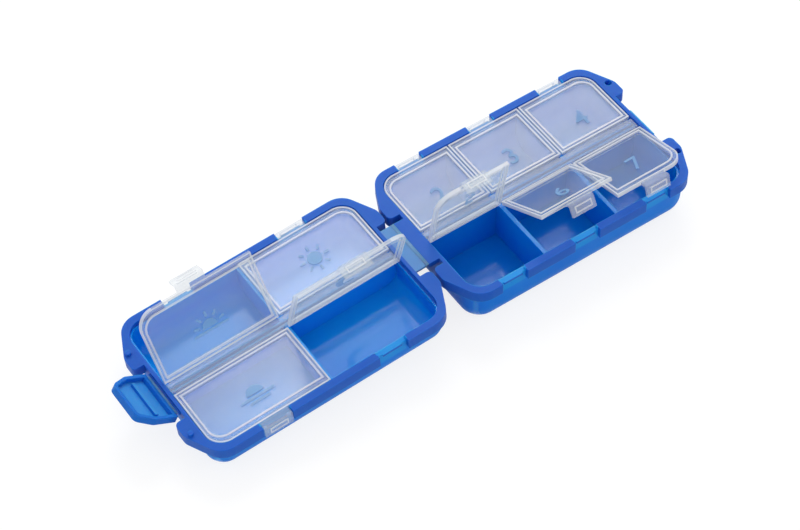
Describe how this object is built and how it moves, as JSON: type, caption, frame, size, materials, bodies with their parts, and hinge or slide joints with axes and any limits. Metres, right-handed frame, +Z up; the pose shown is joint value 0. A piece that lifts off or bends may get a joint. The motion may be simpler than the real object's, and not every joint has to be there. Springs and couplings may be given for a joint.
{
  "type": "pill organizer",
  "caption": "Folding pill case: a deep tray and a shallow tray joined by a folding strap, with hinged snap lids over each compartment and a latch flap.",
  "frame": {"origin": "middle of the flat underside of the deep tray, on the surface it rests on", "axes": "+X along the case towards the deep tray's free end, +Y towards the back row, +Z up"},
  "size_m": [0.1985, 0.06, 0.0443],
  "materials": {
    "blue_case": "moulded blue polypropylene, glossy and slightly translucent",
    "blue_strap": "thin blue polypropylene living hinge",
    "blue_latch": "thin glossy blue polypropylene flap",
    "frosted_lids": "frosted translucent polypropylene with polished beads"
  },
  "bodies": {
    "day_case": {"day_tray": "blue_case", "day_lid_spine": "frosted_lids", "fold_hinge": "blue_strap", "day_2_lid_hinge": "frosted_lids", "day_3_lid_hinge": "frosted_lids", "day_4_lid_hinge": "frosted_lids", "day_5_lid_hinge": "frosted_lids", "day_6_lid_hinge": "frosted_lids", "day_7_lid_hinge": "frosted_lids"},
    "time_case": {"time_tray": "blue_case", "time_lid_spine": "frosted_lids", "latch_hinge": "blue_strap", "morning_lid_hinge": "frosted_lids", "afternoon_lid_hinge": "frosted_lids", "evening_lid_hinge": "frosted_lids", "bedtime_lid_hinge": "frosted_lids"},
    "day_2": {"day_2_lid": "frosted_lids"},
    "day_3": {"day_3_lid": "frosted_lids"},
    "day_4": {"day_4_lid": "frosted_lids"},
    "day_5": {"day_5_lid": "frosted_lids"},
    "day_6": {"day_6_lid": "frosted_lids"},
    "day_7": {"day_7_lid": "frosted_lids"},
    "morning": {"morning_lid": "frosted_lids"},
    "afternoon": {"afternoon_lid": "frosted_lids"},
    "evening": {"evening_lid": "frosted_lids"},
    "bedtime": {"bedtime_lid": "frosted_lids"},
    "latch": {"latch_flap": "blue_latch"}
  },
  "joints": [
    {"name": "fold_swing", "type": "hinge", "parent": "day_case", "child": "time_case", "pos_m": [-0.0473, 0, 0.01835], "axis": [0, 1, 0], "range_deg": [0, 65], "deforming": ["fold_hinge"]},
    {"name": "latch_swing", "type": "hinge", "parent": "time_case", "child": "latch", "pos_m": [-0.13823, 0, 0.01114], "axis": [0, 1, 0], "range_deg": [-45, 55], "deforming": ["latch_hinge"]},
    {"name": "day_2_swing", "type": "hinge", "parent": "day_case", "child": "day_2", "pos_m": [-0.028, 0.00235, 0.01715], "axis": [-1, 0, 0], "range_deg": [-92, 0], "deforming": ["day_2_lid_hinge"]},
    {"name": "day_3_swing", "type": "hinge", "parent": "day_case", "child": "day_3", "pos_m": [0, 0.00235, 0.01715], "axis": [-1, 0, 0], "range_deg": [-92, 0], "deforming": ["day_3_lid_hinge"]},
    {"name": "day_4_swing", "type": "hinge", "parent": "day_case", "child": "day_4", "pos_m": [0.028, 0.00235, 0.01715], "axis": [-1, 0, 0], "range_deg": [-92, 0], "deforming": ["day_4_lid_hinge"]},
    {"name": "day_5_swing", "type": "hinge", "parent": "day_case", "child": "day_5", "pos_m": [-0.028, -0.00235, 0.01715], "axis": [1, 0, 0], "range_deg": [-12, 80], "deforming": ["day_5_lid_hinge"]},
    {"name": "day_6_swing", "type": "hinge", "parent": "day_case", "child": "day_6", "pos_m": [0, -0.00235, 0.01715], "axis": [1, 0, 0], "range_deg": [-60, 32], "deforming": ["day_6_lid_hinge"]},
    {"name": "day_7_swing", "type": "hinge", "parent": "day_case", "child": "day_7", "pos_m": [0.028, -0.00235, 0.01715], "axis": [1, 0, 0], "range_deg": [-76, 16], "deforming": ["day_7_lid_hinge"]},
    {"name": "morning_swing", "type": "hinge", "parent": "time_case", "child": "morning", "pos_m": [-0.11541, 0.00235, 0.01306], "axis": [-0.9982, 0, -0.0599], "range_deg": [-32, 60], "deforming": ["morning_lid_hinge"]},
    {"name": "afternoon_swing", "type": "hinge", "parent": "time_case", "child": "afternoon", "pos_m": [-0.07348, 0.00235, 0.01558], "axis": [-0.9982, 0, -0.0599], "range_deg": [-92, 0], "deforming": ["afternoon_lid_hinge"]},
    {"name": "evening_swing", "type": "hinge", "parent": "time_case", "child": "evening", "pos_m": [-0.11541, -0.00235, 0.01306], "axis": [0.9982, 0, 0.0599], "range_deg": [-92, 0], "deforming": ["evening_lid_hinge"]},
    {"name": "bedtime_swing", "type": "hinge", "parent": "time_case", "child": "bedtime", "pos_m": [-0.07348, -0.00235, 0.01558], "axis": [0.9982, 0, 0.0599], "range_deg": [-20, 72], "deforming": ["bedtime_lid_hinge"]}
  ]
}
